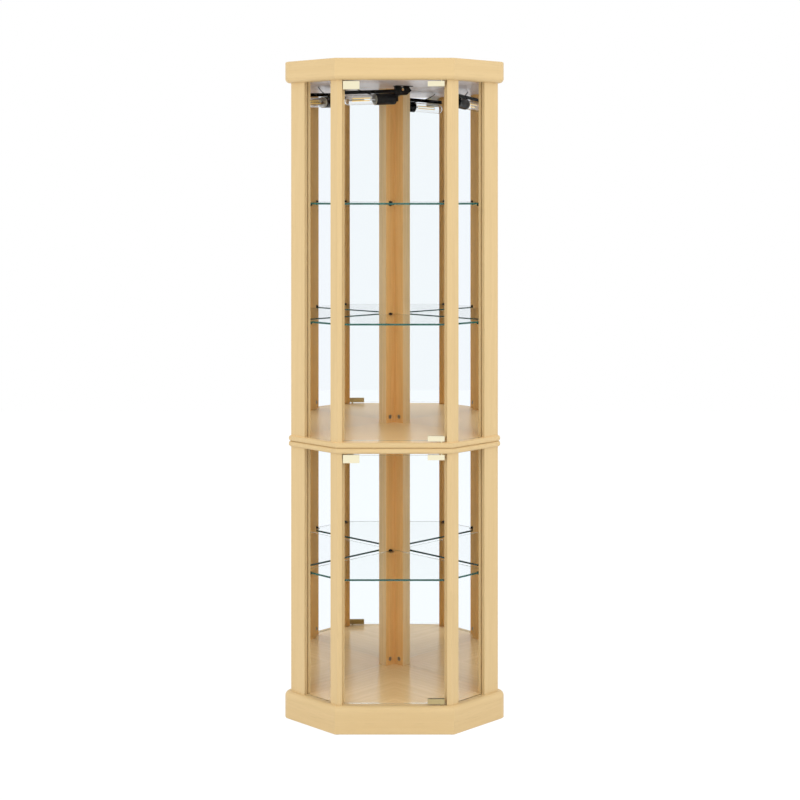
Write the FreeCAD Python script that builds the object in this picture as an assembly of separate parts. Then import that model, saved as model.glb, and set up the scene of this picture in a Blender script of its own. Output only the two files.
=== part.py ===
"""Corner curio cabinet: two glazed sections stacked on one another, five-sided in plan.

The plan has a front, two side lights turned back from it, and two backs that meet in a right
angle. Millimetres, +Z up, the front faces -Y, and the origin is under the middle of the base.
"""
import FreeCAD, Part
import math
import os

V = FreeCAD.Vector
os.makedirs("parts", exist_ok=True)

# Plan of the carcass, to the outer faces of the posts
front_half_width = 152.8
carcass_half_width = 288.0

# Heights
glide_height = 2.0
base_top = 75.0
lower_section_top = 745.5
waist_board = 15.0
cabinet_height = 1800.0
cap_height = 58.0

# Base and cap: mitred rails around panels
base_overhang_front = 15.0
base_overhang_back = 19.5
base_corner_radius = 30.0
rail_thickness = 36.0
rail_rebate = 8.0
base_top_round = 14.0
base_bottom_round = 2.0
cap_bottom_round = 12.0
cap_top_round = 4.0
floor_panel = 16.0
ceiling_panel = 12.0
top_panel = 6.0
glide_radius = 11.0

# Waist boards
waist_overhang_front = 7.0
waist_overhang_back = 6.0
waist_corner_radius = 17.0
waist_nose_radius = 6.5

# Posts
post_thickness = 22.0
corner_post_light_wing = 61.0
corner_post_back_wing = 53.0
corner_post_radius = 10.0
rear_post_wing = 56.0
rear_post_radius = 6.0
door_post_front_leg = 13.3
door_post_light_leg = 27.0
door_post_stop = 6.0
door_post_stop_thickness = 7.0
post_edge_radius = 1.5

# Side lights
light_thickness = 4.0
light_depth = 10.0
groove_depth = 8.0
groove_side_clearance = 0.2
glass_end_clearance = 0.3

# Mirrors and back boards, let in from behind; the mirrors stand a little out of parallel
mirror_thickness = 3.0
back_board_thickness = 3.0
mirror_depth_at_corner = 8.4
mirror_depth_at_rear = 7.0
mirror_overlap = 9.0
mirror_side_clearance = 0.8
clip_on_post = 14.0
clip_on_board = 8.0
clip_height = 16.0
clip_thickness = 2.0
clip_end_distance = 90.0

# Screws
screw_radius = 1.6
screw_head_radius = 3.2
screw_head_height = 1.5
screw_length = 12.0
screw_clearance = 0.05

# Shelves and their pins
shelf_thickness = 5.0
lower_shelf_top = 406.0
middle_shelf_top = 1090.5
upper_shelf_top = 1414.0
shelf_gap = 2.0
shelf_corner_radius = 5.0
pin_radius = 2.5
pin_depth = 6.0
pin_clearance = 0.05
pin_rise = 1.0
pin_flange_radius = 7.5
pin_flange = 1.6
pin_pad_length = 11.0
pin_pad_width = 12.0
pin_pad_thickness = 4.0
pin_hook_length = 6.0
pin_hook_width = 8.0
pin_hook_thickness = 2.2
pin_hook_clearance = 0.2
door_post_pin_distance = 18.0
corner_post_pin_distance = 50.0
rear_post_pin_distance = 40.0

# Cam fasteners between the posts and the boards
cam_radius = 6.0
cam_depth = 6.0
cam_clearance = 0.05
cam_end_distance = 17.0
cam_slot_width = 1.6
cam_slot_depth = 1.5

# Doors
door_glass_thickness = 5.0
door_set_back = 2.0
door_side_gap = 2.0
door_end_gap = 5.0
hinge_length = 45.0
hinge_height = 14.0
hinge_plate = 2.0
clamp_web = 2.0
clamp_clearance = 0.1
hinge_inset = 4.0
pivot_inset = 8.0
pivot_radius = 2.8
pivot_reach = 6.0
pivot_clearance = 0.05
bush_radius = 4.6
bush_length = 9.0
bush_floor = 1.5
clamp_screw_spacing = 22.0
clamp_screw_radius = 2.4
clamp_screw_proud = 1.0

# Strike plate and touch latch at the free top corner of each door
strike_length = 44.0
strike_height = 22.0
strike_plate = 1.2
latch_distance = 19.5
latch_width = 16.0
latch_height = 14.0
latch_length = 50.0
latch_drop = 8.0
latch_ear_length = 9.0
latch_ear_thickness = 3.0
latch_bore_depth = 34.0
plunger_radius = 4.0
plunger_clearance = 0.08
plunger_gap = 0.3
plunger_travel = 3.0
plunger_length = 27.0
plunger_head_radius = 4.6
plunger_head = 1.8

# Lamp under the ceiling: its back end, and the tip of its bulb
lamp_end_from_rear = 187.0
lamp_end_drop = 37.0
lamp_tip_left = 140.0
lamp_tip_from_rear = 263.0
lamp_tip_drop = 46.0
socket_radius = 16.0
socket_length = 63.0
socket_bore_depth = 26.0
socket_clearance = 0.05
stud_radius = 2.5
nut_radius = 4.5
nut_thickness = 3.0
bulb_radius = 14.0
bulb_wall = 0.8
bulb_cap_radius = 13.0
bulb_cap_proud = 0.5
filament_radius = 1.1
filament_spread = 4.0
filament_length = 58.0
bracket_plate = 2.0
bracket_flange_width = 20.0
bracket_length = 54.0
bracket_drop = 28.0
bracket_web = 4.0
bracket_hole_radius = 4.5
bracket_hole_drop = 10.0
bracket_strap_drop = 10.5
bracket_strap_height = 10.0
bracket_tab_width = 12.0
bracket_tab_below = 8.0
bracket_screw_inset = 6.0
lead_radius = 1.25
lead_entry = 5.0
lead_clearance = 0.05
lead_at = 14.0
lead_off = 22.0
lead_rise = 14.0
lead_end_at = 126.0

# Bolts that hold the two sections together
bolt_radius = 3.0
bolt_head_radius = 7.0
bolt_head = 2.5
bolt_reach = 11.0
bolt_clearance = 0.05
bolt_half_spacing = 80.0
bolt_from_front = 60.0
bolt_from_rear = 148.0

# Worked out from the sizes above; the sides and the backs lie at 45 degrees to the front
carcass_front = base_overhang_front
carcass_corner = carcass_front + carcass_half_width - front_half_width
carcass_rear = carcass_corner + carcass_half_width
waist_joint = lower_section_top + waist_board
upper_section_top = cabinet_height - cap_height
upper_section_bottom = waist_joint + waist_board
SECTIONS = {"lower": (base_top, lower_section_top), "upper": (upper_section_bottom, upper_section_top)}
SHELVES = {"lower_shelf": lower_shelf_top, "middle_shelf": middle_shelf_top,
           "upper_shelf": upper_shelf_top}
opening_half_width = front_half_width - door_post_front_leg
door_half_width = opening_half_width - door_side_gap
door_front = carcass_front + door_set_back
door_back = door_front + door_glass_thickness
lamp_end = V(0, carcass_rear - lamp_end_from_rear, upper_section_top - lamp_end_drop)
lamp_tip = V(-lamp_tip_left, carcass_rear - lamp_tip_from_rear, upper_section_top - lamp_tip_drop)
pivot = V(door_half_width - hinge_inset - pivot_inset, (door_front + door_back) / 2, 0)

# Corners of the carcass, and the side that starts at each, round from the left end of the front
CORNERS = [V(-front_half_width, carcass_front, 0), V(front_half_width, carcass_front, 0),
           V(carcass_half_width, carcass_corner, 0), V(0, carcass_rear, 0),
           V(-carcass_half_width, carcass_corner, 0)]
FRONT, RIGHT_LIGHT, RIGHT_BACK, LEFT_BACK, LEFT_LIGHT = range(5)
LEFT_FRONT, RIGHT_FRONT, RIGHT_CORNER, REAR_CORNER, LEFT_CORNER = range(5)


def side_direction(side):
    return (CORNERS[(side + 1) % 5] - CORNERS[side]).normalize()


def side_inward(side):
    d = side_direction(side)
    return V(-d.y, d.x, 0)


def side_length(side):
    return (CORNERS[(side + 1) % 5] - CORNERS[side]).Length


def on_side(side, distance, depth, z=0.0):
    """Point at a distance along a side of the carcass and a depth inside it."""
    return CORNERS[side] + side_direction(side) * distance + side_inward(side) * depth + V(0, 0, z)


def inset_corner(corner, depth_before, depth_after):
    """Corner of the carcass, moved in by a depth on each of the two sides that meet there."""
    before = (corner - 1) % 5
    a, d1 = on_side(before, 0, depth_before), side_direction(before)
    b, d2 = on_side(corner, 0, depth_after), side_direction(corner)
    t = ((b.x - a.x) * d2.y - (b.y - a.y) * d2.x) / (d1.x * d2.y - d1.y * d2.x)
    return a + d1 * t


def plan(front_depth, back_depth):
    """The five corners with the front three sides and the two backs moved in."""
    depths = [front_depth, front_depth, back_depth, back_depth, front_depth]
    return [inset_corner(c, depths[(c - 1) % 5], depths[c]) for c in range(5)]


def prism(points, bottom, top):
    """Upright solid on a closed plan."""
    ring = [V(p.x, p.y, bottom) for p in points]
    return Part.Face(Part.makePolygon(ring + ring[:1])).extrude(V(0, 0, top - bottom))


def side_block(side, start, end, outer, inner, bottom, top):
    """Block lined up with a side of the carcass."""
    return prism([on_side(side, start, outer), on_side(side, end, outer),
                  on_side(side, end, inner), on_side(side, start, inner)], bottom, top)


def box(x0, x1, y0, y1, z0, z1):
    return Part.makeBox(x1 - x0, y1 - y0, z1 - z0, V(x0, y0, z0))


def rod(start, end, radius):
    return Part.makeCylinder(radius, (end - start).Length, start, end - start)


def round_upright(solid, points, radius):
    """Round the upright edges that stand on the given points of the plan."""
    edges = []
    for edge in solid.Edges:
        a, b = edge.Vertexes[0].Point, edge.Vertexes[-1].Point
        upright = abs(a.z - b.z) > 1 and math.hypot(a.x - b.x, a.y - b.y) < 1e-6
        if upright and any(math.hypot(a.x - p.x, a.y - p.y) < 1e-3 for p in points):
            edges.append(edge)
    return solid.makeFillet(radius, edges)


def round_level(solid, height, radius):
    """Round every edge that lies at one height."""
    edges = [e for e in solid.Edges if all(abs(v.Z - height) < 1e-4 for v in e.Vertexes)]
    return solid.makeFillet(radius, edges)


def mirrored(shape):
    """The same piece for the other side of the cabinet."""
    return shape.mirror(V(0, 0, 0), V(1, 0, 0))


def cut_all(solid, cutters):
    for cutter in cutters:
        solid = solid.cut(cutter)
    return solid


# Everything is built from the base's front face at y = 0, and moved to the middle when written
base_plan = plan(-base_overhang_front, -base_overhang_back)
depth = base_plan[REAR_CORNER].y - base_corner_radius * (math.sqrt(2) - 1)


def save(name, solids):
    """Write a piece, or a group of like pieces."""
    shape = solids[0] if len(solids) == 1 else Part.makeCompound(solids)
    shape = shape.copy()
    shape.translate(V(0, -depth / 2, 0))
    shape.exportStep("parts/" + name + ".step")


# ------------------------------------------------------------------ screws, bushes and bolts
def screw(head_face, into):
    """Pan-head screw; the head's seat is at head_face and the shank runs along into."""
    head = rod(head_face - into * screw_head_height, head_face, screw_head_radius)
    return head.fuse(rod(head_face, head_face + into * screw_length, screw_radius)).removeSplitter()


def screw_hole(head_face, into):
    return rod(head_face - into, head_face + into * screw_length, screw_radius + screw_clearance)


def bush_hole(face, into):
    start = V(pivot.x, pivot.y, face)
    return rod(start - V(0, 0, into), start + V(0, 0, into * bush_length), bush_radius)


def hinge_bush(face, into):
    """Bush set flush in a board, with a blind bore for the door's pivot."""
    start = V(pivot.x, pivot.y, face)
    body = rod(start, start + V(0, 0, into * bush_length), bush_radius)
    bore_end = start + V(0, 0, into * (bush_length - bush_floor))
    return body.cut(rod(start - V(0, 0, into), bore_end, pivot_radius + pivot_clearance))


bushes = [hinge_bush(base_top, -1), hinge_bush(lower_section_top, 1),
          hinge_bush(upper_section_bottom, -1), hinge_bush(upper_section_top, 1)]
save("hinge_bushes", bushes)
screws = []

# ------------------------------------------------------------------ lamp
lamp_axis = (lamp_tip - lamp_end).normalize()
lamp_length = (lamp_tip - lamp_end).Length
lamp_along = V(lamp_axis.x, lamp_axis.y, 0).normalize()
lamp_across = V(lamp_along.y, -lamp_along.x, 0)


def on_lamp(distance, across=0.0):
    return lamp_end + lamp_axis * distance + lamp_across * across


def lamp_block(start, end, half_width, bottom, top):
    """Upright block in line with the lamp, in plan."""
    foot = V(lamp_end.x, lamp_end.y, 0)
    corners = [(start, -half_width), (end, -half_width), (end, half_width), (start, half_width)]
    return prism([foot + lamp_along * s + lamp_across * n for s, n in corners], bottom, top)


def lamp_upright(outline, half_width):
    """Upright plate in line with the lamp, from an outline of (distance, height) points."""
    foot = V(lamp_end.x, lamp_end.y, 0)
    ring = [foot + lamp_along * d + V(0, 0, z) - lamp_across * half_width for d, z in outline]
    return Part.Face(Part.makePolygon(ring + ring[:1])).extrude(lamp_across * (2 * half_width))


def lead_path():
    """Middle line of the lead, from inside the socket's side up into the ceiling."""
    start, leaves = on_lamp(lead_at, socket_radius - lead_entry), on_lamp(lead_at, socket_radius + lead_radius)
    rises = on_lamp(lead_end_at, lead_off)
    ceiling_point = V(rises.x, rises.y, upper_section_top)
    arrives, end = ceiling_point - V(0, 0, 3), ceiling_point + V(0, 0, lead_entry)
    curve = Part.BSplineCurve()
    curve.interpolate([leaves, on_lamp(lead_at + lead_off, lead_off + lead_radius) + V(0, 0, lead_rise * 0.7),
                       on_lamp(lead_end_at - 2 * lead_off, lead_off) + V(0, 0, lead_rise * 1.35), arrives],
                      InitialTangent=lamp_across * 30, FinalTangent=V(0, 0, 30))
    edges = [Part.makeLine(start, leaves), curve.toShape(), Part.makeLine(arrives, end)]
    return Part.Wire(edges), start, ceiling_point


def build_bulb():
    cap_start = on_lamp(socket_length - socket_bore_depth)
    cap_end = socket_length + bulb_cap_proud
    save("bulb_cap", [rod(cap_start, on_lamp(cap_end), bulb_cap_radius)])
    dome = on_lamp(lamp_length - bulb_radius)
    outer = rod(on_lamp(cap_end), dome, bulb_radius).fuse(Part.makeSphere(bulb_radius, dome))
    inner_radius = bulb_radius - bulb_wall
    glass_floor = cap_end + 2 * bulb_wall
    inner = rod(on_lamp(glass_floor), dome, inner_radius).fuse(Part.makeSphere(inner_radius, dome))
    save("bulb_glass", [outer.removeSplitter().cut(inner.removeSplitter())])
    save("bulb_filaments", [rod(on_lamp(glass_floor, n), on_lamp(glass_floor + filament_length, n),
                                filament_radius) for n in (-filament_spread, filament_spread)])


def build_socket(lead_start):
    socket = rod(on_lamp(0), on_lamp(socket_length), socket_radius)
    rear_edges = [e for e in socket.Edges if (e.CenterOfMass - on_lamp(0)).Length < 1e-3]
    socket = socket.makeFillet(2.0, rear_edges)
    socket = socket.cut(rod(on_lamp(socket_length - socket_bore_depth), on_lamp(socket_length + 1),
                            bulb_cap_radius + socket_clearance))
    stud = rod(on_lamp(-bracket_plate - nut_thickness - 1), on_lamp(0), stud_radius)
    lead_hole = rod(lead_start, on_lamp(lead_at, socket_radius + 4), lead_radius + lead_clearance)
    save("lamp_socket", [socket.fuse(stud).removeSplitter().cut(lead_hole)])


def build_bracket(seats):
    """Ceiling flange, hub with a hole, a strap above the bulb, and a tab behind the socket."""
    ceiling = upper_section_top
    flange = lamp_block(-bracket_length, 0, bracket_flange_width / 2, ceiling - bracket_plate, ceiling)
    drop, back = bracket_drop, -bracket_length
    hub = lamp_upright([(0, ceiling), (back * 0.8, ceiling), (back, ceiling - drop * 0.45),
                        (back * 0.72, ceiling - drop * 0.9), (0, ceiling - drop)], bracket_web / 2)
    hole_at = lamp_end + lamp_along * (back / 2)
    hole_at = V(hole_at.x, hole_at.y, ceiling - bracket_hole_drop)
    hub = hub.cut(rod(hole_at - lamp_across * bracket_web, hole_at + lamp_across * bracket_web,
                      bracket_hole_radius))
    top, fall = ceiling - bracket_strap_drop, lamp_tip_drop - lamp_end_drop
    strap = lamp_upright([(-bracket_plate, top), (lamp_length, top - fall),
                          (lamp_length, top - fall - bracket_strap_height),
                          (-bracket_plate, top - bracket_strap_height)], bracket_plate / 2)
    tab_up = lamp_axis.cross(lamp_across)
    tab_up = tab_up if tab_up.z > 0 else tab_up * -1
    tab = Part.makeBox(bracket_plate, bracket_tab_width, bracket_tab_below + lamp_end_drop - bracket_drop + 2)
    corner = on_lamp(-bracket_plate, -bracket_tab_width / 2) - tab_up * bracket_tab_below
    tab.Placement = FreeCAD.Placement(corner, FreeCAD.Rotation(lamp_axis, lamp_across, tab_up, "XZY"))
    bracket = flange.fuse([hub, strap, tab]).removeSplitter()
    bracket = bracket.cut(rod(on_lamp(-2 * bracket_plate), on_lamp(0), stud_radius + socket_clearance))
    bracket = bracket.cut(rod(on_lamp(0), on_lamp(socket_length), socket_radius))
    bracket = cut_all(bracket, [screw_hole(p, V(0, 0, 1)) for p in seats])
    nut = rod(on_lamp(-bracket_plate - nut_thickness), on_lamp(-bracket_plate), nut_radius)
    nut = nut.cut(rod(on_lamp(-2 * bracket_plate - nut_thickness), on_lamp(0), stud_radius + socket_clearance))
    save("lamp_bracket", [bracket, nut])


def build_lamp():
    """The whole lamp; gives back the holes that it needs in the ceiling."""
    path, lead_start, ceiling_point = lead_path()
    build_bulb()
    build_socket(lead_start)
    circle = Part.Wire(Part.makeCircle(lead_radius, lead_start, lamp_across))
    save("lamp_lead", [path.makePipeShell([circle], True, True)])
    up = V(0, 0, 1)
    seats = []
    for d in (-bracket_length + bracket_screw_inset, -bracket_length / 2 + bracket_screw_inset):
        for n in (-bracket_screw_inset, bracket_screw_inset):
            at = lamp_end + lamp_along * d + lamp_across * n
            seats.append(V(at.x, at.y, upper_section_top - bracket_plate))
    build_bracket(seats)
    screws.extend(screw(p, up) for p in seats)
    lead_exit = rod(ceiling_point - V(0, 0, 1), ceiling_point + V(0, 0, ceiling_panel + 1),
                    lead_radius + lead_clearance)
    return [screw_hole(p, up) for p in seats] + [lead_exit]


# ------------------------------------------------------------------ base, cap and waist
def mitred_rails(bottom, top, bottom_round, top_round):
    """Moulded ring in five mitred rails, and the plan of the space inside it."""
    ring = round_upright(prism(base_plan, bottom, top), base_plan[2:], base_corner_radius)
    ring = round_level(ring, bottom, bottom_round)
    ring = round_level(ring, top, top_round)
    inner = plan(rail_thickness - base_overhang_front, rail_thickness - base_overhang_back)
    ring = ring.cut(prism(inner, bottom - 1, top + 1))
    rails = []
    for side in range(5):
        nxt = (side + 1) % 5
        wedge = prism([base_plan[side], base_plan[nxt], inner[nxt], inner[side]], bottom - 1, top + 1)
        rails.append(ring.common(wedge).Solids[0])
    return rails


def panel_plan():
    reach = rail_thickness - rail_rebate
    return plan(reach - base_overhang_front, reach - base_overhang_back)


def build_base_and_cap(ceiling_cutters):
    panel = panel_plan()
    floor = prism(panel, base_top - floor_panel, base_top)
    save("base_floor", [floor])
    rails = mitred_rails(glide_height, base_top, base_bottom_round, base_top_round)
    rails = [r.cut(floor) for r in rails]
    rails[FRONT] = rails[FRONT].cut(bush_hole(base_top, -1))
    save_rails("base", rails)

    ceiling = prism(panel, upper_section_top, upper_section_top + ceiling_panel)
    top = prism(panel, cabinet_height - top_panel, cabinet_height)
    save("cap_top", [top])
    save("cap_ceiling", [cut_all(ceiling, ceiling_cutters)])
    rails = mitred_rails(upper_section_top, cabinet_height, cap_bottom_round, cap_top_round)
    rails = [r.cut(ceiling).cut(top) for r in rails]
    rails[FRONT] = rails[FRONT].cut(bush_hole(upper_section_top, 1))
    save_rails("cap", rails)

    centre_line = plan(rail_thickness / 2 - base_overhang_front, rail_thickness / 2 - base_overhang_back)
    save("glides", [rod(V(p.x, p.y, 0), V(p.x, p.y, glide_height), glide_radius) for p in centre_line])


def save_rails(prefix, rails):
    save(prefix + "_front_rail", [rails[FRONT]])
    save(prefix + "_side_rails", [rails[RIGHT_LIGHT], rails[LEFT_LIGHT]])
    save(prefix + "_back_rails", [rails[RIGHT_BACK], rails[LEFT_BACK]])


def waist_slab(bottom):
    outline = plan(-waist_overhang_front, -waist_overhang_back)
    slab = round_upright(prism(outline, bottom, bottom + waist_board), outline[2:], waist_corner_radius)
    slab = round_level(slab, bottom, waist_nose_radius)
    return round_level(slab, bottom + waist_board, waist_nose_radius)


def section_bolt(x, y):
    """Bolt up through the lower waist board into the upper one."""
    seat = V(x, y, lower_section_top)
    head = rod(seat - V(0, 0, bolt_head), seat, bolt_head_radius)
    shank = rod(seat, V(x, y, waist_joint + bolt_reach), bolt_radius)
    return head.fuse(shank).removeSplitter()


def build_waist(latch_holes):
    rows = (carcass_front + bolt_from_front, carcass_rear - bolt_from_rear)
    spots = [(x, y) for x in (-bolt_half_spacing, bolt_half_spacing) for y in rows]
    holes = [rod(V(x, y, lower_section_top - 1), V(x, y, waist_joint + bolt_reach),
                 bolt_radius + bolt_clearance) for x, y in spots]
    lower = cut_all(waist_slab(lower_section_top), holes + [bush_hole(lower_section_top, 1)] + latch_holes)
    upper = cut_all(waist_slab(waist_joint), holes + [bush_hole(upper_section_bottom, -1)])
    save("waist_lower_board", [lower])
    save("waist_upper_board", [upper])
    save("section_bolts", [section_bolt(x, y) for x, y in spots])


# ------------------------------------------------------------------ posts, lights and mirrors
def mirror_depth(distance):
    """Depth of the mirror's face below the carcass's outer face, at a distance along a back."""
    start, end = corner_post_back_wing, side_length(RIGHT_BACK) - rear_post_wing
    share = (distance - start) / (end - start)
    return mirror_depth_at_corner + (mirror_depth_at_rear - mirror_depth_at_corner) * share


def back_layer(outer_off, inner_off, inset, bottom, top):
    """Layer of the right-hand back that follows the mirror's face."""
    start = corner_post_back_wing - mirror_overlap + inset
    end = side_length(RIGHT_BACK) - rear_post_wing + mirror_overlap - inset
    return prism([on_side(RIGHT_BACK, start, mirror_depth(start) - outer_off),
                  on_side(RIGHT_BACK, end, mirror_depth(end) - outer_off),
                  on_side(RIGHT_BACK, end, mirror_depth(end) - inner_off),
                  on_side(RIGHT_BACK, start, mirror_depth(start) - inner_off)], bottom, top)


def pin_places():
    """Where a shelf's pins stand, right-hand ones first: side of the carcass and distance along it."""
    return [(RIGHT_LIGHT, door_post_pin_distance),
            (RIGHT_LIGHT, side_length(RIGHT_LIGHT) - corner_post_pin_distance),
            (LEFT_BACK, rear_post_pin_distance)]


def pin_face(side, distance, shelf):
    return on_side(side, distance, post_thickness, SHELVES[shelf] - shelf_thickness + pin_rise)


def shelf_pin(side, distance, shelf):
    """Peg in a post with a round flange, a pad under the shelf and a small hook over it."""
    face, inward = pin_face(side, distance, shelf), side_inward(side)
    under, over = SHELVES[shelf] - shelf_thickness, SHELVES[shelf] + pin_hook_clearance
    pad = side_block(side, distance - pin_pad_width / 2, distance + pin_pad_width / 2, post_thickness,
                     post_thickness + pin_pad_length, under - pin_pad_thickness, under)
    hook = side_block(side, distance - pin_hook_width / 2, distance + pin_hook_width / 2, post_thickness,
                      post_thickness + pin_hook_length, over, over + pin_hook_thickness)
    peg = rod(face - inward * pin_depth, face + inward * pin_flange, pin_radius)
    flange = rod(face, face + inward * pin_flange, pin_flange_radius)
    return peg.fuse([flange, pad, hook]).removeSplitter()


def pin_hole(side, distance, shelf):
    face, inward = pin_face(side, distance, shelf), side_inward(side)
    return rod(face - inward * pin_depth, face + inward, pin_radius + pin_clearance)


def cam_places(bottom, top):
    """Cam fasteners of the right-hand half of a section: side, distance along it, and height."""
    corner = side_length(RIGHT_LIGHT) - corner_post_pin_distance
    rear = side_length(RIGHT_BACK) - rear_post_pin_distance
    return [(side, distance, z) for side, distance in ((RIGHT_LIGHT, corner), (RIGHT_BACK, rear))
            for z in (bottom + cam_end_distance, top - cam_end_distance)]


def cam(side, distance, z, clearance, reach):
    face = on_side(side, distance, post_thickness, z)
    inward = side_inward(side)
    return rod(face - inward * cam_depth, face + inward * reach, cam_radius + clearance)


def cam_fastener(side, distance, z):
    slot = side_block(side, distance - cam_radius - 1, distance + cam_radius + 1,
                      post_thickness - cam_slot_depth, post_thickness + 1,
                      z - cam_slot_width / 2, z + cam_slot_width / 2)
    return cam(side, distance, z, 0, 0).cut(slot)


def clip_places(bottom, top):
    """Mirror clips of the right-hand back: edge of the rebate, the way to the post, and height."""
    near = corner_post_back_wing - mirror_overlap
    far = side_length(RIGHT_BACK) - rear_post_wing + mirror_overlap
    return [(edge, way, z) for edge, way in ((near, -1), (far, 1))
            for z in (bottom + clip_end_distance, top - clip_end_distance)]


def clip_screw_seat(edge, way, z):
    return on_side(RIGHT_BACK, edge + way * clip_on_post / 2, -clip_thickness, z)


def mirror_clip(edge, way, z):
    """Plate screwed to the post's back, with a pad that presses on the back board."""
    low, high = z - clip_height / 2, z + clip_height / 2
    ends = sorted([edge + way * clip_on_post, edge - way * clip_on_board])
    plate = side_block(RIGHT_BACK, ends[0], ends[1], -clip_thickness, 0, low, high)
    pad = sorted([edge - way * (mirror_side_clearance + 0.5), edge - way * clip_on_board])
    board = mirror_thickness + back_board_thickness
    foot = prism([on_side(RIGHT_BACK, pad[0], -clip_thickness), on_side(RIGHT_BACK, pad[1], -clip_thickness),
                  on_side(RIGHT_BACK, pad[1], mirror_depth(pad[1]) - board),
                  on_side(RIGHT_BACK, pad[0], mirror_depth(pad[0]) - board)], low, high)
    inward = side_inward(RIGHT_BACK)
    return plate.fuse(foot).removeSplitter().cut(screw_hole(clip_screw_seat(edge, way, z), inward))


def corner_post(bottom, top):
    """Right-hand corner post, an L in plan."""
    end = side_length(RIGHT_LIGHT)
    t = post_thickness
    points = [on_side(RIGHT_LIGHT, end - corner_post_light_wing, 0), CORNERS[RIGHT_CORNER],
              on_side(RIGHT_BACK, corner_post_back_wing, 0), on_side(RIGHT_BACK, corner_post_back_wing, t),
              inset_corner(RIGHT_CORNER, t, t), on_side(RIGHT_LIGHT, end - corner_post_light_wing, t)]
    post = round_upright(prism(points, bottom, top), [points[1]], corner_post_radius)
    post = round_upright(post, [points[0], points[3]], post_edge_radius)
    return post.cut(light_groove(end - corner_post_light_wing, 1, bottom, top))


def door_post(bottom, top):
    """Right-hand door post: one leg beside the door, the other along the side light."""
    t = post_thickness
    points = [V(opening_half_width, carcass_front, 0), CORNERS[RIGHT_FRONT],
              on_side(RIGHT_LIGHT, door_post_light_leg, 0), on_side(RIGHT_LIGHT, door_post_light_leg, t),
              inset_corner(RIGHT_FRONT, t, t), V(opening_half_width, carcass_front + t, 0)]
    post = round_upright(prism(points, bottom, top), points[:4], post_edge_radius)
    back = carcass_front + t
    stop = box(opening_half_width - door_post_stop, points[4].x, back - door_post_stop_thickness, back,
               bottom, top)
    return post.fuse(stop).removeSplitter().cut(light_groove(door_post_light_leg, -1, bottom, top))


def rear_post(bottom, top):
    """Post in the room's corner, its two wings along the backs."""
    t = post_thickness
    end = side_length(RIGHT_BACK)
    points = [on_side(RIGHT_BACK, end - rear_post_wing, 0), CORNERS[REAR_CORNER],
              on_side(LEFT_BACK, rear_post_wing, 0), on_side(LEFT_BACK, rear_post_wing, t),
              inset_corner(REAR_CORNER, t, t), on_side(RIGHT_BACK, end - rear_post_wing, t)]
    post = round_upright(prism(points, bottom, top), [points[1]], rear_post_radius)
    return round_upright(post, [points[3], points[5]], post_edge_radius)


def light_groove(edge, way, bottom, top):
    """Groove for the side light, from a post's edge into the post."""
    start, end = sorted([edge - way, edge + way * groove_depth])
    return side_block(RIGHT_LIGHT, start, end, light_depth - groove_side_clearance,
                      light_depth + light_thickness + groove_side_clearance, bottom - 1, top + 1)


def side_light(bottom, top):
    start = door_post_light_leg - groove_depth + glass_end_clearance
    end = side_length(RIGHT_LIGHT) - corner_post_light_wing + groove_depth - glass_end_clearance
    return side_block(RIGHT_LIGHT, start, end, light_depth, light_depth + light_thickness,
                      bottom, top - glass_end_clearance)


def build_section(name):
    """Posts, side lights, mirrors and back boards of one section."""
    bottom, top = SECTIONS[name]
    shelves = [s for s in SHELVES if bottom < SHELVES[s] < top]
    inward = side_inward(RIGHT_BACK)
    half = [cam(side, s, z, cam_clearance, 1) for side, s, z in cam_places(bottom, top)]
    half.append(back_layer(mirror_depth_at_corner + 2, 0, 0, bottom - 1, top + 1))
    half += [screw_hole(clip_screw_seat(*c), inward) for c in clip_places(bottom, top)]
    pins, holes = [], []
    for shelf in shelves:
        for side, distance in pin_places():
            pins.append((shelf, shelf_pin(side, distance, shelf)))
            holes.append(pin_hole(side, distance, shelf))
            if side != LEFT_BACK:
                pins.append((shelf, mirrored(pins[-1][1])))
    right_corner = cut_all(corner_post(bottom, top), half + holes)
    right_door = cut_all(door_post(bottom, top), holes)
    rear = cut_all(rear_post(bottom, top), half + [mirrored(c) for c in half])
    rear = cut_all(rear, [pin_hole(LEFT_BACK, rear_post_pin_distance, shelf) for shelf in shelves])
    save(name + "_right_corner_post", [right_corner])
    save(name + "_left_corner_post", [mirrored(right_corner)])
    save(name + "_door_posts", [right_door, mirrored(right_door)])
    save(name + "_rear_post", [rear])
    light = side_light(bottom, top)
    save(name + "_right_light", [light])
    save(name + "_left_light", [mirrored(light)])
    glass_top = top - glass_end_clearance
    mirror = back_layer(mirror_thickness, 0, mirror_side_clearance, bottom, glass_top)
    board = back_layer(mirror_thickness + back_board_thickness, mirror_thickness,
                       mirror_side_clearance, bottom, glass_top)
    save(name + "_right_mirror", [mirror])
    save(name + "_left_mirror", [mirrored(mirror)])
    save(name + "_back_boards", [board, mirrored(board)])
    for shelf in shelves:
        save(shelf + "_pins", [p for s, p in pins if s == shelf])


def build_shelf(name):
    t = post_thickness + shelf_gap
    outline = plan(t, t)
    solid = prism(outline, SHELVES[name] - shelf_thickness, SHELVES[name])
    save(name, [round_upright(solid, outline, shelf_corner_radius)])


# ------------------------------------------------------------------ doors
def glass_clamp(x0, x1, edge, way, height, plate):
    """U-shaped clamp over a door's top (way 1) or bottom (way -1) edge."""
    inner, outer = edge - way * (height - clamp_web), edge + way * clamp_web
    z0, z1 = sorted([inner, outer])
    body = box(x0, x1, door_front - clamp_clearance - plate, door_back + clamp_clearance + plate, z0, z1)
    slot_z = sorted([inner - way, edge])
    return body.cut(box(x0 - 1, x1 + 1, door_front - clamp_clearance, door_back + clamp_clearance,
                        slot_z[0], slot_z[1]))


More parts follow.
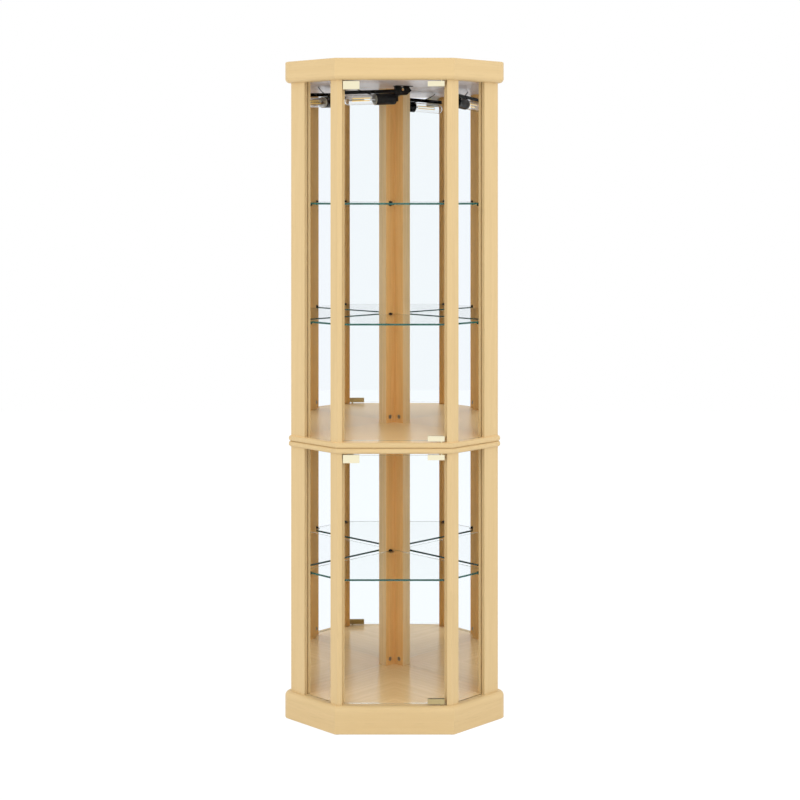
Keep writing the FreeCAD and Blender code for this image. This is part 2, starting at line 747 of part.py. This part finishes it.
def door_hinge(edge, way):
    """Clamp with a pivot that runs in the board's bush, and two clamping screws behind."""
    x1 = door_half_width - hinge_inset
    clamp = glass_clamp(x1 - hinge_length, x1, edge, way, hinge_height, hinge_plate)
    start = V(pivot.x, pivot.y, edge + way * clamp_web / 2)
    clamp = clamp.fuse(rod(start, V(pivot.x, pivot.y, edge + way * (door_end_gap + pivot_reach)), pivot_radius))
    back = door_back + clamp_clearance + hinge_plate
    middle = x1 - hinge_length / 2
    z = edge - way * (hinge_height - clamp_web) / 2
    for x in (middle - clamp_screw_spacing / 2, middle + clamp_screw_spacing / 2):
        clamp = clamp.fuse(rod(V(x, back - 1, z), V(x, back + clamp_screw_proud, z), clamp_screw_radius))
    return clamp.removeSplitter()


def build_door(name):
    bottom, top = SECTIONS[name]
    low, high = bottom + door_end_gap, top - door_end_gap
    save(name + "_door_glass", [box(-door_half_width, door_half_width, door_front, door_back, low, high)])
    save(name + "_door_top_hinge", [door_hinge(high, 1)])
    save(name + "_door_bottom_hinge", [door_hinge(low, -1)])
    strike = glass_clamp(-door_half_width, -door_half_width + strike_length, high, 1,
                         strike_height, strike_plate)
    save(name + "_strike_plate", [strike])
    return build_latch(name, top)


def build_latch(name, top):
    """Touch latch under the board above: a body with two ears, and its plunger."""
    x = -door_half_width + latch_distance
    z = top - latch_drop
    tip = door_back + clamp_clearance + strike_plate + plunger_gap
    front = tip + plunger_head + plunger_travel + plunger_gap
    head = rod(V(x, tip, z), V(x, tip + plunger_head, z), plunger_head_radius)
    shaft_end = V(x, tip + plunger_head + plunger_length, z)
    plunger = head.fuse(rod(V(x, tip, z), shaft_end, plunger_radius)).removeSplitter()
    save(name + "_latch_plunger", [plunger])
    half = latch_width / 2
    body = box(x - half, x + half, front, front + latch_length, top - latch_height, top)
    middle = front + latch_length / 2
    ears = box(x - half - latch_ear_length, x + half + latch_ear_length, middle - 7, middle + 7,
               top - latch_ear_thickness, top)
    body = body.fuse(ears).removeSplitter()
    body = body.cut(rod(V(x, front - 1, z), V(x, front + latch_bore_depth, z),
                        plunger_radius + plunger_clearance))
    up = V(0, 0, 1)
    seats = [V(x + side * (half + latch_ear_length / 2), middle, top - latch_ear_thickness)
             for side in (-1, 1)]
    body = cut_all(body, [screw_hole(p, up) for p in seats])
    screws.extend(screw(p, up) for p in seats)
    save(name + "_latch_body", [body])
    return [screw_hole(p, up) for p in seats]


# ------------------------------------------------------------------ build
waist_latch_holes = build_door("lower")
cap_latch_holes = build_door("upper")
build_base_and_cap(build_lamp() + cap_latch_holes)
build_waist(waist_latch_holes)
for section in SECTIONS:
    build_section(section)
for shelf in SHELVES:
    build_shelf(shelf)

clips, cams = [], []
for low, high in SECTIONS.values():
    right_clips = [mirror_clip(*c) for c in clip_places(low, high)]
    right_cams = [cam_fastener(*c) for c in cam_places(low, high)]
    clips += right_clips + [mirrored(c) for c in right_clips]
    cams += right_cams + [mirrored(c) for c in right_cams]
    for place in clip_places(low, high):
        fixing = screw(clip_screw_seat(*place), side_inward(RIGHT_BACK))
        screws.extend([fixing, mirrored(fixing)])
save("mirror_clips", clips)
save("cam_fasteners", cams)
save("screws", screws)
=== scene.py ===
import math
import bpy
from mathutils import Matrix, Vector


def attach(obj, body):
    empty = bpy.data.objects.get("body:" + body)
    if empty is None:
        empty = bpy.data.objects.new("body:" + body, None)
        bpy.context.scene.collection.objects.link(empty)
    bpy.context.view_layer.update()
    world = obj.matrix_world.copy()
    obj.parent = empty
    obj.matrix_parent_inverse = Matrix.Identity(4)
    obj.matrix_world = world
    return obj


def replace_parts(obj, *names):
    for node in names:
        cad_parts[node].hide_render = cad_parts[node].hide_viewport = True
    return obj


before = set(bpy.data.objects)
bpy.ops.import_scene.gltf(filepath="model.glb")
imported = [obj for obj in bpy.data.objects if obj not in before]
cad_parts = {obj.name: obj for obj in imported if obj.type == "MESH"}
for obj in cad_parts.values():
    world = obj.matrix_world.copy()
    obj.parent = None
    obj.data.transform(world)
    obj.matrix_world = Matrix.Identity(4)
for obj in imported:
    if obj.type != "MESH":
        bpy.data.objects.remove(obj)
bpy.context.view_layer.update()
bpy.ops.object.select_all(action="DESELECT")

# ---- Room: a plain white floor and backdrop, soft lamps and the viewer's place.
# The floor and backdrop are seen white; the floor still takes the cabinet's shadow.
# The stronger of the two front lamps stands to the right, a little higher than the cabinet.
scene = bpy.context.scene
scene.view_settings.view_transform = "Standard"


def feed(tree, node, inputs):
    """Set each of a node's inputs to a constant, or link it to another node's output."""
    for socket, value in inputs.items():
        if isinstance(value, bpy.types.NodeSocket):
            tree.links.new(value, node.inputs[socket])
        else:
            node.inputs[socket].default_value = value


def add_node(tree, kind, inputs):
    """Add a shader node of one kind, with its inputs."""
    node = tree.nodes.new("ShaderNode" + kind)
    feed(tree, node, inputs)
    return node


def arithmetic(tree, operation, *values):
    """Result of one step of arithmetic on numbers and other nodes' outputs."""
    node = tree.nodes.new("ShaderNodeMath")
    node.operation = operation
    feed(tree, node, dict(enumerate(values)))
    return node.outputs[0]


def rays_to_the_eye(tree):
    """1 for rays that meet the eye straight, by reflection or through glass, and 0 for the others."""
    path = add_node(tree, "LightPath", {})
    straight_or_reflected = arithmetic(tree, "MAXIMUM", path.outputs["Is Camera Ray"],
                                       path.outputs["Is Glossy Ray"])
    return arithmetic(tree, "MAXIMUM", straight_or_reflected, path.outputs["Is Transmission Ray"])


def seen_white(name, lit_grey, seen_grey, seen_share):
    """A plain surface that is seen white but lights the cabinet only by its own grey."""
    material = bpy.data.materials.new(name)
    material.use_nodes = True
    tree = material.node_tree
    tree.nodes.clear()
    plain = add_node(tree, "BsdfDiffuse", {"Color": (lit_grey, lit_grey, lit_grey, 1)})
    glow = add_node(tree, "Emission", {"Color": (seen_grey, seen_grey, seen_grey, 1)})
    share = arithmetic(tree, "MULTIPLY", rays_to_the_eye(tree), seen_share)
    mix = add_node(tree, "MixShader", {0: share, 1: plain.outputs[0], 2: glow.outputs[0]})
    add_node(tree, "OutputMaterial", {"Surface": mix.outputs[0]})
    return material


def room_plane(name, place, tilt_deg, paint):
    """One of the two large planes of the room."""
    bpy.ops.mesh.primitive_plane_add(size=14, location=place, rotation=(math.radians(tilt_deg), 0, 0))
    plane = bpy.context.object
    plane.name = name
    plane.data.materials.append(paint)
    return plane


floor = room_plane("room_floor", (0, 0, 0), 0, seen_white("room_floor_paint", 0.86, 1.05, 0.95))
backdrop = room_plane("room_backdrop", (0, 6.2, 4), 90, seen_white("room_backdrop_paint", 0.9, 1, 1))

world = bpy.data.worlds.new("room_light")
scene.world = world
world.use_nodes = True
sky = world.node_tree
sky.nodes.clear()
daylight = add_node(sky, "Background", {"Color": (0.95, 0.97, 1.0, 1), "Strength": 0.98})
white = add_node(sky, "Background", {"Color": (1, 1, 1, 1), "Strength": 1.0})
seen_sky = add_node(sky, "MixShader", {0: rays_to_the_eye(sky), 1: daylight.outputs[0],
                                       2: white.outputs[0]})
add_node(sky, "OutputWorld", {"Surface": seen_sky.outputs[0]})

for name, place, aim, wide, tall, watts in (
        ("front_right_lamp", (3.3, -2.5, 2.1), (0.1, 0, 1.0), 2.2, 2.6, 42),
        ("front_left_lamp", (-3.3, -2.3, 1.9), (0, 0, 0.9), 2.2, 2.6, 37),
        ("top_lamp", (0.3, -1.6, 3.6), (0, 0.1, 0.6), 2.0, 2.0, 10)):
    bpy.ops.object.light_add(type="AREA", location=place)
    lamp = bpy.context.object
    lamp.name = name
    lamp.data.shape = "RECTANGLE"
    lamp.data.size = wide
    lamp.data.size_y = tall
    lamp.data.energy = watts
    lamp.visible_glossy = False
    lamp.visible_transmission = False
    dx, dy, dz = (aim[i] - place[i] for i in range(3))
    drop = math.atan2(-dz, math.hypot(dx, dy))
    lamp.rotation_euler = (math.pi / 2 - drop, 0, math.atan2(-dx, dy))

# The eye looks level from 4.6 m away and 1.44 m up, and the shift frames the cabinet.
bpy.ops.object.camera_add(location=(0, -4.6025, 1.4434), rotation=(math.radians(90), 0, 0))
camera = bpy.context.object
camera.data.sensor_width = 36
camera.data.lens = 74.16
camera.data.shift_x = 0.00685
camera.data.shift_y = -0.2601
scene.camera = camera


# ---- Mouldings: the mitred rails of the base and the cap, and the two waist boards.
# Pale oak veneer on board, with a satin varnish. The grain runs along each rail, so it turns at
# the mitres, and it runs from side to side on the waist boards, which are bolted together.
def new_material(name):
    """Start a material; gives it back with its node tree and its surface shader."""
    material = bpy.data.materials.new(name)
    material.use_nodes = True
    return material, material.node_tree, material.node_tree.nodes["Principled BSDF"]


def multiplied(tree, share, colour, other):
    """A colour multiplied by another one, as far as the share says."""
    mix = tree.nodes.new("ShaderNodeMix")
    mix.data_type = "RGBA"
    mix.blend_type = "MULTIPLY"
    feed(tree, mix, {"Factor": share, "A": colour, "B": other})
    return mix.outputs["Result"]


def grain(tree, place, along, fine, coarse, detail, rough):
    """Noise drawn out along x or z: fine is its scale across the grain, coarse its scale along it."""
    scale = (coarse, fine, fine) if along == "x" else (fine, fine, coarse)
    stretch = add_node(tree, "Mapping", {"Vector": place, "Scale": scale})
    noise = add_node(tree, "TexNoise", {"Vector": stretch.outputs[0], "Scale": 1, "Detail": detail,
                                        "Roughness": rough})
    return noise.outputs["Fac"]


def faces_that_look(tree, way, across):
    """1 on the faces that look one way and 0 on the others; it picks the faces that get painted light.
    The ways are inward, to the back and the middle; outward, to the front and away from the middle;
    and up. across is the place in x."""
    steep, level, middle = 0.3, 0.9, 0.01
    normal = add_node(tree, "NewGeometry", {}).outputs["True Normal"]
    facing = add_node(tree, "SeparateXYZ", {0: normal})
    if way == "up":
        return arithmetic(tree, "GREATER_THAN", facing.outputs["Z"], level)
    from_middle = arithmetic(tree, "MULTIPLY", across, facing.outputs["X"])
    if way == "inward":
        sideways = arithmetic(tree, "LESS_THAN", from_middle, middle)
        endways = arithmetic(tree, "GREATER_THAN", facing.outputs["Y"], steep)
    else:
        sideways = arithmetic(tree, "GREATER_THAN", from_middle, middle)
        endways = arithmetic(tree, "LESS_THAN", facing.outputs["Y"], -steep)
    return arithmetic(tree, "MULTIPLY", sideways, endways)


def veneer(name, pale, dark, turn_deg, along, figure, rough=0.42, same_halves=True, painted_light_tint=None,
           painted_light_faces="inward"):
    """Varnished wood. turn_deg turns the grain in plan; along is x for level grain, z for upright.
    figure is the strength of the grain's tones. With same_halves, the left half has the right half's
    grain, turned round. painted_light_tint multiplies the colour of the painted_light_faces: it is
    painted light, which makes those faces paler."""
    material, tree, surface = new_material(name)
    split = add_node(tree, "SeparateXYZ", {0: add_node(tree, "TexCoord", {}).outputs["Object"]})
    across = split.outputs["X"]
    from_middle = arithmetic(tree, "ABSOLUTE", across) if same_halves else across
    join = add_node(tree, "CombineXYZ", {"X": from_middle, "Y": split.outputs["Y"],
                                         "Z": split.outputs["Z"]})
    turn = (0, 0, math.radians(turn_deg))
    place = add_node(tree, "Mapping", {"Vector": join.outputs[0], "Rotation": turn}).outputs[0]
    broad = grain(tree, place, along, fine=26, coarse=1.3, detail=4, rough=0.55)
    streak = grain(tree, place, along, fine=150, coarse=3.2, detail=5, rough=0.6)
    pores = grain(tree, place, along, fine=900, coarse=22, detail=2, rough=0.5)

    bands = 34
    flame_weight = 0.16 * figure
    streak_weight = 1.1 * figure
    flame = arithmetic(tree, "SINE", arithmetic(tree, "MULTIPLY", broad, bands))
    flame_tone = arithmetic(tree, "MULTIPLY_ADD", flame, flame_weight, 0.5)
    wood_tone = arithmetic(tree, "MULTIPLY_ADD", streak, streak_weight, flame_tone)
    middle_tone = 0.5 + streak_weight / 2
    reach = 0.42
    spread = add_node(tree, "MapRange", {"Value": wood_tone, "From Min": middle_tone - reach,
                                         "From Max": middle_tone + reach})
    ramp = add_node(tree, "ValToRGB", {"Fac": spread.outputs[0]})
    ramp.color_ramp.elements[0].color = (*dark, 1)
    ramp.color_ramp.elements[1].color = (*pale, 1)
    pore_tone = add_node(tree, "MapRange", {"Value": pores, "From Min": 0.28, "From Max": 0.42,
                                            "To Min": 0.90, "To Max": 1.0})
    colour = multiplied(tree, 1, ramp.outputs["Color"], pore_tone.outputs[0])
    if painted_light_tint:
        colour = multiplied(tree, faces_that_look(tree, painted_light_faces, across), colour, (*painted_light_tint, 1))

    sheen = add_node(tree, "MapRange", {"Value": streak, "To Min": rough - 0.05, "To Max": rough + 0.07})
    relief = add_node(tree, "Bump", {"Height": pores, "Strength": 0.05, "Distance": 0.0004})
    feed(tree, surface, {"Base Color": colour, "Roughness": sheen.outputs[0], "Specular IOR Level": 0.4,
                         "Normal": relief.outputs[0]})
    return material


def finish_node(node, material):
    """Give a carried-over piece its finish."""
    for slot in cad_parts[node].material_slots:
        slot.material = material


oak_pale = (0.70, 0.51, 0.258)
oak_dark = (0.62, 0.435, 0.202)
across_veneer = veneer("veneer_across", oak_pale, oak_dark, 0, "x", figure=0.45)
side_veneer = veneer("veneer_along_sides", oak_pale, oak_dark, -45, "x", figure=0.45)
back_veneer = veneer("veneer_along_backs", oak_pale, oak_dark, 45, "x", figure=0.45)
# On the upper waist board, the upper section's floor, the upward faces get painted light, which makes
# them paler.
display_veneer = veneer("display_board_veneer", oak_pale, oak_dark, 0, "x", figure=0.45, rough=0.3,
                        painted_light_tint=(1.34, 1.30, 1.30), painted_light_faces="up")
for part in ("base", "cap"):
    finish_node(part + "_front_rail", across_veneer)
    finish_node(part + "_side_rails", side_veneer)
    finish_node(part + "_back_rails", back_veneer)
finish_node("waist_lower_board", across_veneer)
finish_node("waist_upper_board", display_veneer)

# ---- Panels: the base's floor, the ceiling and the top.
# Flat veneered boards let into the rails. The floor's veneer is glossier and has more figure,
# and the ceiling's is greyer, which is painted shade on the ceiling.
panel_veneer = veneer("panel_veneer", (0.93, 0.68, 0.36), (0.76, 0.52, 0.25), 45, "x",
                      figure=0.6, rough=0.2)
ceiling_veneer = veneer("ceiling_veneer", (0.72, 0.64, 0.62), (0.64, 0.55, 0.52), 0, "x",
                        figure=0.3, rough=0.3)
finish_node("base_floor", panel_veneer)
finish_node("cap_top", panel_veneer)
finish_node("cap_ceiling", ceiling_veneer)

# ---- Posts: upright oak, an L or a blunt V in plan, held to the boards by cam fasteners.
# The grain runs up the posts. Those at the front and sides have painted light on the faces that look
# into the cabinet, which makes these faces paler. The rear posts show more figure; their more orange
# veneer stands in for the warm light inside the cabinet, and a painted highlight makes the ends of
# their wings paler.
post_veneer = veneer("post_veneer", oak_pale, oak_dark, 0, "z", figure=0.5, same_halves=False,
                     painted_light_tint=(1.39, 1.19, 0.90))
# Painted light: the more orange veneer, and a painted highlight that makes the wing ends paler.
rear_veneer = veneer("rear_post_veneer", (0.92, 0.575, 0.235), (0.72, 0.41, 0.13), 0, "z", figure=0.7,
                     same_halves=False, painted_light_tint=(1.05, 1.26, 1.78), painted_light_faces="outward")
for section in ("lower", "upper"):
    for side in ("left", "right"):
        finish_node(section + "_" + side + "_corner_post", post_veneer)
    finish_node(section + "_door_posts", post_veneer)
    finish_node(section + "_rear_post", rear_veneer)

# ---- Mirrors and back boards, let into the posts from behind.
# Silvered glass, faintly cool, with brown hardboard behind it, held by zinc-plated clips.
silvering, silver_tree, silver = new_material("silvering")
feed(silver_tree, silver, {"Base Color": (0.955, 0.972, 0.992, 1), "Metallic": 1, "Roughness": 0.0})
hardboard = veneer("hardboard", (0.23, 0.14, 0.075), (0.19, 0.11, 0.055), 0, "z", figure=0.3, rough=0.8,
                   same_halves=False)
for section in ("lower", "upper"):
    finish_node(section + "_left_mirror", silvering)
    finish_node(section + "_right_mirror", silvering)
    finish_node(section + "_back_boards", hardboard)


# ---- Side lights and shelves.
# Clear sheet glass: the side lights stand in grooves in the posts, the shelves lie on pins. Light
# that has run through a sheet leaves at its cut edges, which are dark blue-green on the shelves.
def sheet_glass(name, face, edge, edge_share, sheet_normal, bend):
    """Clear glass whose cut edges show a colour. sheet_normal is square to the sheet in the piece's
    own frame, so an open door keeps its edges. bend is the index of refraction."""
    material, tree, clear = new_material(name)
    feed(tree, clear, {"Base Color": (*face, 1), "Roughness": 0.0, "IOR": bend, "Transmission Weight": 1})
    rim = add_node(tree, "BsdfPrincipled", {"Base Color": (*edge, 1), "Roughness": 0.12,
                                            "Transmission Weight": 0.35})
    facing = tree.nodes.new("ShaderNodeVectorMath")
    facing.operation = "DOT_PRODUCT"
    feed(tree, facing, {0: add_node(tree, "TexCoord", {}).outputs["Normal"], 1: sheet_normal})
    squareness = arithmetic(tree, "ABSOLUTE", facing.outputs["Value"])
    is_edge = arithmetic(tree, "LESS_THAN", squareness, 0.5)
    rim_share = arithmetic(tree, "MULTIPLY", is_edge, edge_share)
    body = add_node(tree, "MixShader", {0: rim_share, 1: clear.outputs[0], 2: rim.outputs[0]})

    # To the light that falls on things behind it, the glass is a thin film.
    film = add_node(tree, "BsdfTransparent", {"Color": (0.985, 0.99, 0.987, 1)})
    path = add_node(tree, "LightPath", {})
    soft = add_node(tree, "MixShader", {0: path.outputs["Is Diffuse Ray"], 1: body.outputs[0],
                                        2: film.outputs[0]})
    through = add_node(tree, "MixShader", {0: path.outputs["Is Shadow Ray"], 1: soft.outputs[0],
                                           2: film.outputs[0]})
    feed(tree, tree.nodes["Material Output"], {"Surface": through.outputs[0]})
    return material


shelf_glass = sheet_glass("shelf_glass", face=(0.985, 0.995, 0.99), edge=(0.02, 0.15, 0.125),
                          edge_share=0.9, sheet_normal=(0, 0, 1), bend=1.35)
for node in ("lower_shelf", "middle_shelf", "upper_shelf"):
    finish_node(node, shelf_glass)
slant = math.sqrt(0.5)
# The side lights' cut edges are painted a pale wood colour: painted light, which hides the shade of the
# grooves they stand in.
for side, light_normal in (("right", (slant, -slant, 0)), ("left", (slant, slant, 0))):
    light_glass = sheet_glass(side + "_light_glass", face=(0.995, 1, 1), edge=(0.66, 0.53, 0.33),
                              edge_share=0.8, sheet_normal=light_normal, bend=1.04)
    for section in ("lower", "upper"):
        finish_node(section + "_" + side + "_light", light_glass)

# ---- Doors: frameless sheets of thicker glass, held at one side in their clamp hinges.
# The polished edges are given a pale colour, a painted highlight for the light that they catch.
door_glass = sheet_glass("door_glass", face=(0.99, 1, 0.995), edge=(0.52, 0.62, 0.57),
                         edge_share=0.7, sheet_normal=(0, 1, 0), bend=1.06)
finish_node("lower_door_glass", door_glass)
finish_node("upper_door_glass", door_glass)


# ---- Door fittings: clamp hinges with their bushes, strike plates and touch latches.
# The clamps and strikes are polished brass, and the pivots run in bushes in the boards. The
# latches are white plastic, each fixed under the board above its door.
def metal(name, colour, rough):
    """Plated or polished metal, a little uneven in its polish."""
    material, tree, surface = new_material(name)
    place = add_node(tree, "TexCoord", {}).outputs["Object"]
    stretch = add_node(tree, "Mapping", {"Vector": place, "Scale": (60, 400, 400)})
    cloud = add_node(tree, "TexNoise", {"Vector": stretch.outputs[0], "Scale": 1, "Detail": 3})
    polish = add_node(tree, "MapRange", {"Value": cloud.outputs["Fac"], "To Min": rough - 0.06,
                                         "To Max": rough + 0.08})
    feed(tree, surface, {"Base Color": (*colour, 1), "Metallic": 1, "Roughness": polish.outputs[0]})
    return material


brass = metal("polished_brass", (0.80, 0.62, 0.30), 0.22)
bright_brass = metal("bright_brass", (0.93, 0.86, 0.62), 0.3)
dark_brass = metal("darker_brass", (0.50, 0.40, 0.20), 0.3)
for section in ("lower", "upper"):
    finish_node(section + "_door_top_hinge", bright_brass)
    finish_node(section + "_strike_plate", bright_brass)
finish_node("upper_door_bottom_hinge", bright_brass)
# The lower door's bottom hinge is given a darker brass than the other hinges.
finish_node("lower_door_bottom_hinge", dark_brass)
finish_node("hinge_bushes", brass)


def moulded_plastic(name, colour, rough):
    """Moulded plastic, or enamel, with a fine matt grain."""
    material, tree, surface = new_material(name)
    place = add_node(tree, "TexCoord", {}).outputs["Object"]
    speckle = add_node(tree, "TexNoise", {"Vector": place, "Scale": 1400})
    relief = add_node(tree, "Bump", {"Height": speckle.outputs["Fac"], "Strength": 0.12,
                                     "Distance": 0.0002})
    feed(tree, surface, {"Base Color": (*colour, 1), "Roughness": rough, "Specular IOR Level": 0.2,
                         "Normal": relief.outputs[0]})
    return material


latch_plastic = moulded_plastic("latch_plastic", (0.80, 0.79, 0.74), 0.45)
for section in ("lower", "upper"):
    finish_node(section + "_latch_body", latch_plastic)
    finish_node(section + "_latch_plunger", latch_plastic)

# ---- Shelf pins, cam fasteners, screws, bolts, clips and glides.
# Black plastic pins and dark zinc cams set in holes in the posts, plated screws, bolts and clips,
# and plastic glides under the base.
pin_plastic = moulded_plastic("pin_plastic", (0.015, 0.015, 0.017), 0.4)
dark_zinc = metal("dark_zinc", (0.34, 0.35, 0.36), 0.3)
zinc = metal("zinc_plate", (0.56, 0.56, 0.55), 0.35)
for node in ("lower_shelf_pins", "middle_shelf_pins", "upper_shelf_pins"):
    finish_node(node, pin_plastic)
finish_node("cam_fasteners", dark_zinc)
for node in ("screws", "section_bolts", "mirror_clips"):
    finish_node(node, zinc)
finish_node("glides", moulded_plastic("glide_plastic", (0.06, 0.055, 0.05), 0.5))

# ---- Lamp: a black bracket on the ceiling, a black socket and a clear tubular bulb.
# The bracket is enamelled steel, screwed to the ceiling, and carries the moulded socket by a
# stud. The bulb has a brass cap, which sits in the socket.
finish_node("lamp_bracket", moulded_plastic("black_enamel", (0.006, 0.006, 0.006), 0.5))
finish_node("lamp_socket", moulded_plastic("black_phenolic", (0.005, 0.005, 0.006), 0.35))
finish_node("bulb_cap", metal("bulb_cap_metal", (0.70, 0.62, 0.45), 0.3))
finish_node("bulb_glass", sheet_glass("bulb_glass", face=(1, 1, 1), edge=(1, 1, 1), edge_share=0.0,
                                      sheet_normal=(0, 0, 1), bend=1.45))

# ---- Bulb's filaments: two thin strips of yellow phosphor on a wire frame.
# The frame stands on a short glass stem at the bulb's cap and holds the strips along the bulb.
# The lamp's axis runs from the socket's back to the bulb's tip.
lamp_end = Vector((0, 0.0245, 1.7050))
lamp_tip = Vector((-0.1400, -0.0515, 1.6960))
lamp_axis = (lamp_tip - lamp_end).normalized()
lamp_across = Vector((lamp_axis.y, -lamp_axis.x, 0)).normalized()
lamp_down = lamp_axis.cross(lamp_across)
lamp_turn = Matrix((lamp_across, lamp_down, lamp_axis)).transposed().to_euler()


def on_lamp(distance, across=0.0, up=0.0):
    """Point at a distance from the socket's back along the axis, and beside or above the axis."""
    return lamp_end + lamp_axis * distance + lamp_across * across - lamp_down * up


def lamp_bar(wide, deep, long, distance, across, up):
    """Straight bar along the lamp, its middle at that distance."""
    bpy.ops.mesh.primitive_cube_add(size=1, location=on_lamp(distance, across, up), rotation=lamp_turn)
    bpy.context.object.scale = (wide, deep, long)
    return bpy.context.object


def lamp_round(radius, far_radius, long, distance):
    """Round bar on the lamp's axis, its middle at that distance, tapered where the radii differ."""
    bpy.ops.mesh.primitive_cone_add(vertices=24, radius1=radius, radius2=far_radius, depth=long,
                                    location=on_lamp(distance), rotation=lamp_turn)
    return bpy.context.object


def one_piece(name, objects, material):
    """Join objects into one piece on the cabinet, with its place in its mesh."""
    bpy.ops.object.select_all(action="DESELECT")
    for item in objects:
        item.select_set(True)
    bpy.context.view_layer.objects.active = objects[0]
    if len(objects) > 1:
        bpy.ops.object.join()
    bpy.ops.object.transform_apply(location=True, rotation=True, scale=True)
    piece = bpy.context.object
    piece.name = name
    piece.data.materials.clear()
    piece.data.materials.append(material)
    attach(piece, "cabinet")
    return piece


phosphor, phosphor_tree, coating = new_material("phosphor")
chip_place = add_node(phosphor_tree, "TexCoord", {}).outputs["Object"]
chips = add_node(phosphor_tree, "TexNoise", {"Vector": chip_place, "Scale": 700})
chip_tone = add_node(phosphor_tree, "ValToRGB", {"Fac": chips.outputs["Fac"]})
chip_tone.color_ramp.elements[0].color = (0.86, 0.50, 0.08, 1)
chip_tone.color_ramp.elements[1].color = (1.0, 0.78, 0.26, 1)
# The strips' faint emission is a painted glow, which makes their yellow brighter.
feed(phosphor_tree, coating, {"Base Color": chip_tone.outputs["Color"], "Roughness": 0.5,
                              "Emission Color": chip_tone.outputs["Color"], "Emission Strength": 0.35})

bulb_floor = 0.0655
strip_width = 0.0012
strip_depth = 0.0026
strip_length = 0.056
strip_start = bulb_floor + 0.012
strip_middle = strip_start + strip_length / 2
strip_places = ((-0.0025, 0.0042), (0.0025, -0.0026))
strips = [lamp_bar(strip_width, strip_depth, strip_length, strip_middle, across, up)
          for across, up in strip_places]
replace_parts(one_piece("bulb_strips", strips, phosphor), "bulb_filaments")

frame_wire = metal("frame_wire", (0.55, 0.55, 0.54), 0.25)
wire = 0.0006
leg_length = 0.004
leg_middle = bulb_floor + 0.0105
near_hoop = bulb_floor + 0.0095
far_hoop = strip_start + strip_length + wire
frame_depth = 0.0078
frame_width = 0.0060
frame_lift = 0.0008
stem_length = 0.010
stem_radius = 0.0040
stem_top_radius = 0.0018
wires = [lamp_round(stem_radius, stem_top_radius, stem_length, bulb_floor + stem_length / 2)]
for across, up in strip_places:
    wires.append(lamp_bar(wire, wire, leg_length, leg_middle, across, up))
for distance in (near_hoop, far_hoop):
    wires.append(lamp_bar(wire, frame_depth, wire, distance, 0, frame_lift))
    wires.append(lamp_bar(frame_width, wire, wire, distance, 0, frame_lift))
one_piece("bulb_frame", wires, frame_wire)

# ---- Lamp's small metalwork: the ring in the socket's mouth and the cap nut behind it.
# Both are plated; the nut covers the end of the stud that holds the socket to its bracket.
socket_mouth = 0.0634
ring_radius = 0.0146
ring_wire_radius = 0.0010
bpy.ops.mesh.primitive_torus_add(location=on_lamp(socket_mouth), rotation=lamp_turn,
                                 major_radius=ring_radius, minor_radius=ring_wire_radius,
                                 major_segments=48, minor_segments=10)
one_piece("socket_ring", [bpy.context.object], metal("ring_plate", (0.72, 0.68, 0.55), 0.3))

nut_face = -0.0021
nut_radius = 0.0048
nut_length = 0.0040
nut_dome_radius = 0.0046
nut_barrel = lamp_round(nut_radius, nut_radius, nut_length, nut_face - nut_length / 2)
bpy.ops.mesh.primitive_uv_sphere_add(segments=24, ring_count=12, radius=nut_dome_radius,
                                     location=on_lamp(nut_face - nut_length))
one_piece("lamp_cap_nut", [nut_barrel, bpy.context.object], zinc)

# ---- Lead: a thin black lead from the socket's side to the ceiling beyond the bulb.
# It leaves the socket level, lies along the back of the bracket's strap and turns up into the ceiling.
lead_diameter = 0.0025
lead_route = ((-0.0175, 0.0275, 1.7042), (-0.0205, 0.0330, 1.7042), (-0.0427, 0.0278, 1.7128),
              (-0.0824, 0.0048, 1.7193), (-0.1211, -0.0162, 1.7390), (-0.1211, -0.0162, 1.7470))
lead_curve = bpy.data.curves.new("lamp_cord", "CURVE")
lead_curve.dimensions = "3D"
lead_curve.bevel_depth = lead_diameter / 2
lead_curve.bevel_resolution = 4
lead_curve.use_fill_caps = True
lead_line = lead_curve.splines.new("NURBS")
lead_line.points.add(len(lead_route) - 1)
for point, place in zip(lead_line.points, lead_route):
    point.co = (*place, 1)
lead_line.order_u = 3
lead_line.use_endpoint_u = True
lead_line.resolution_u = 12
lamp_cord = bpy.data.objects.new("lamp_cord", lead_curve)
scene.collection.objects.link(lamp_cord)
lead_curve.materials.append(moulded_plastic("lead_sleeve", (0.01, 0.01, 0.01), 0.45))
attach(lamp_cord, "cabinet")
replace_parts(lamp_cord, "lamp_lead")
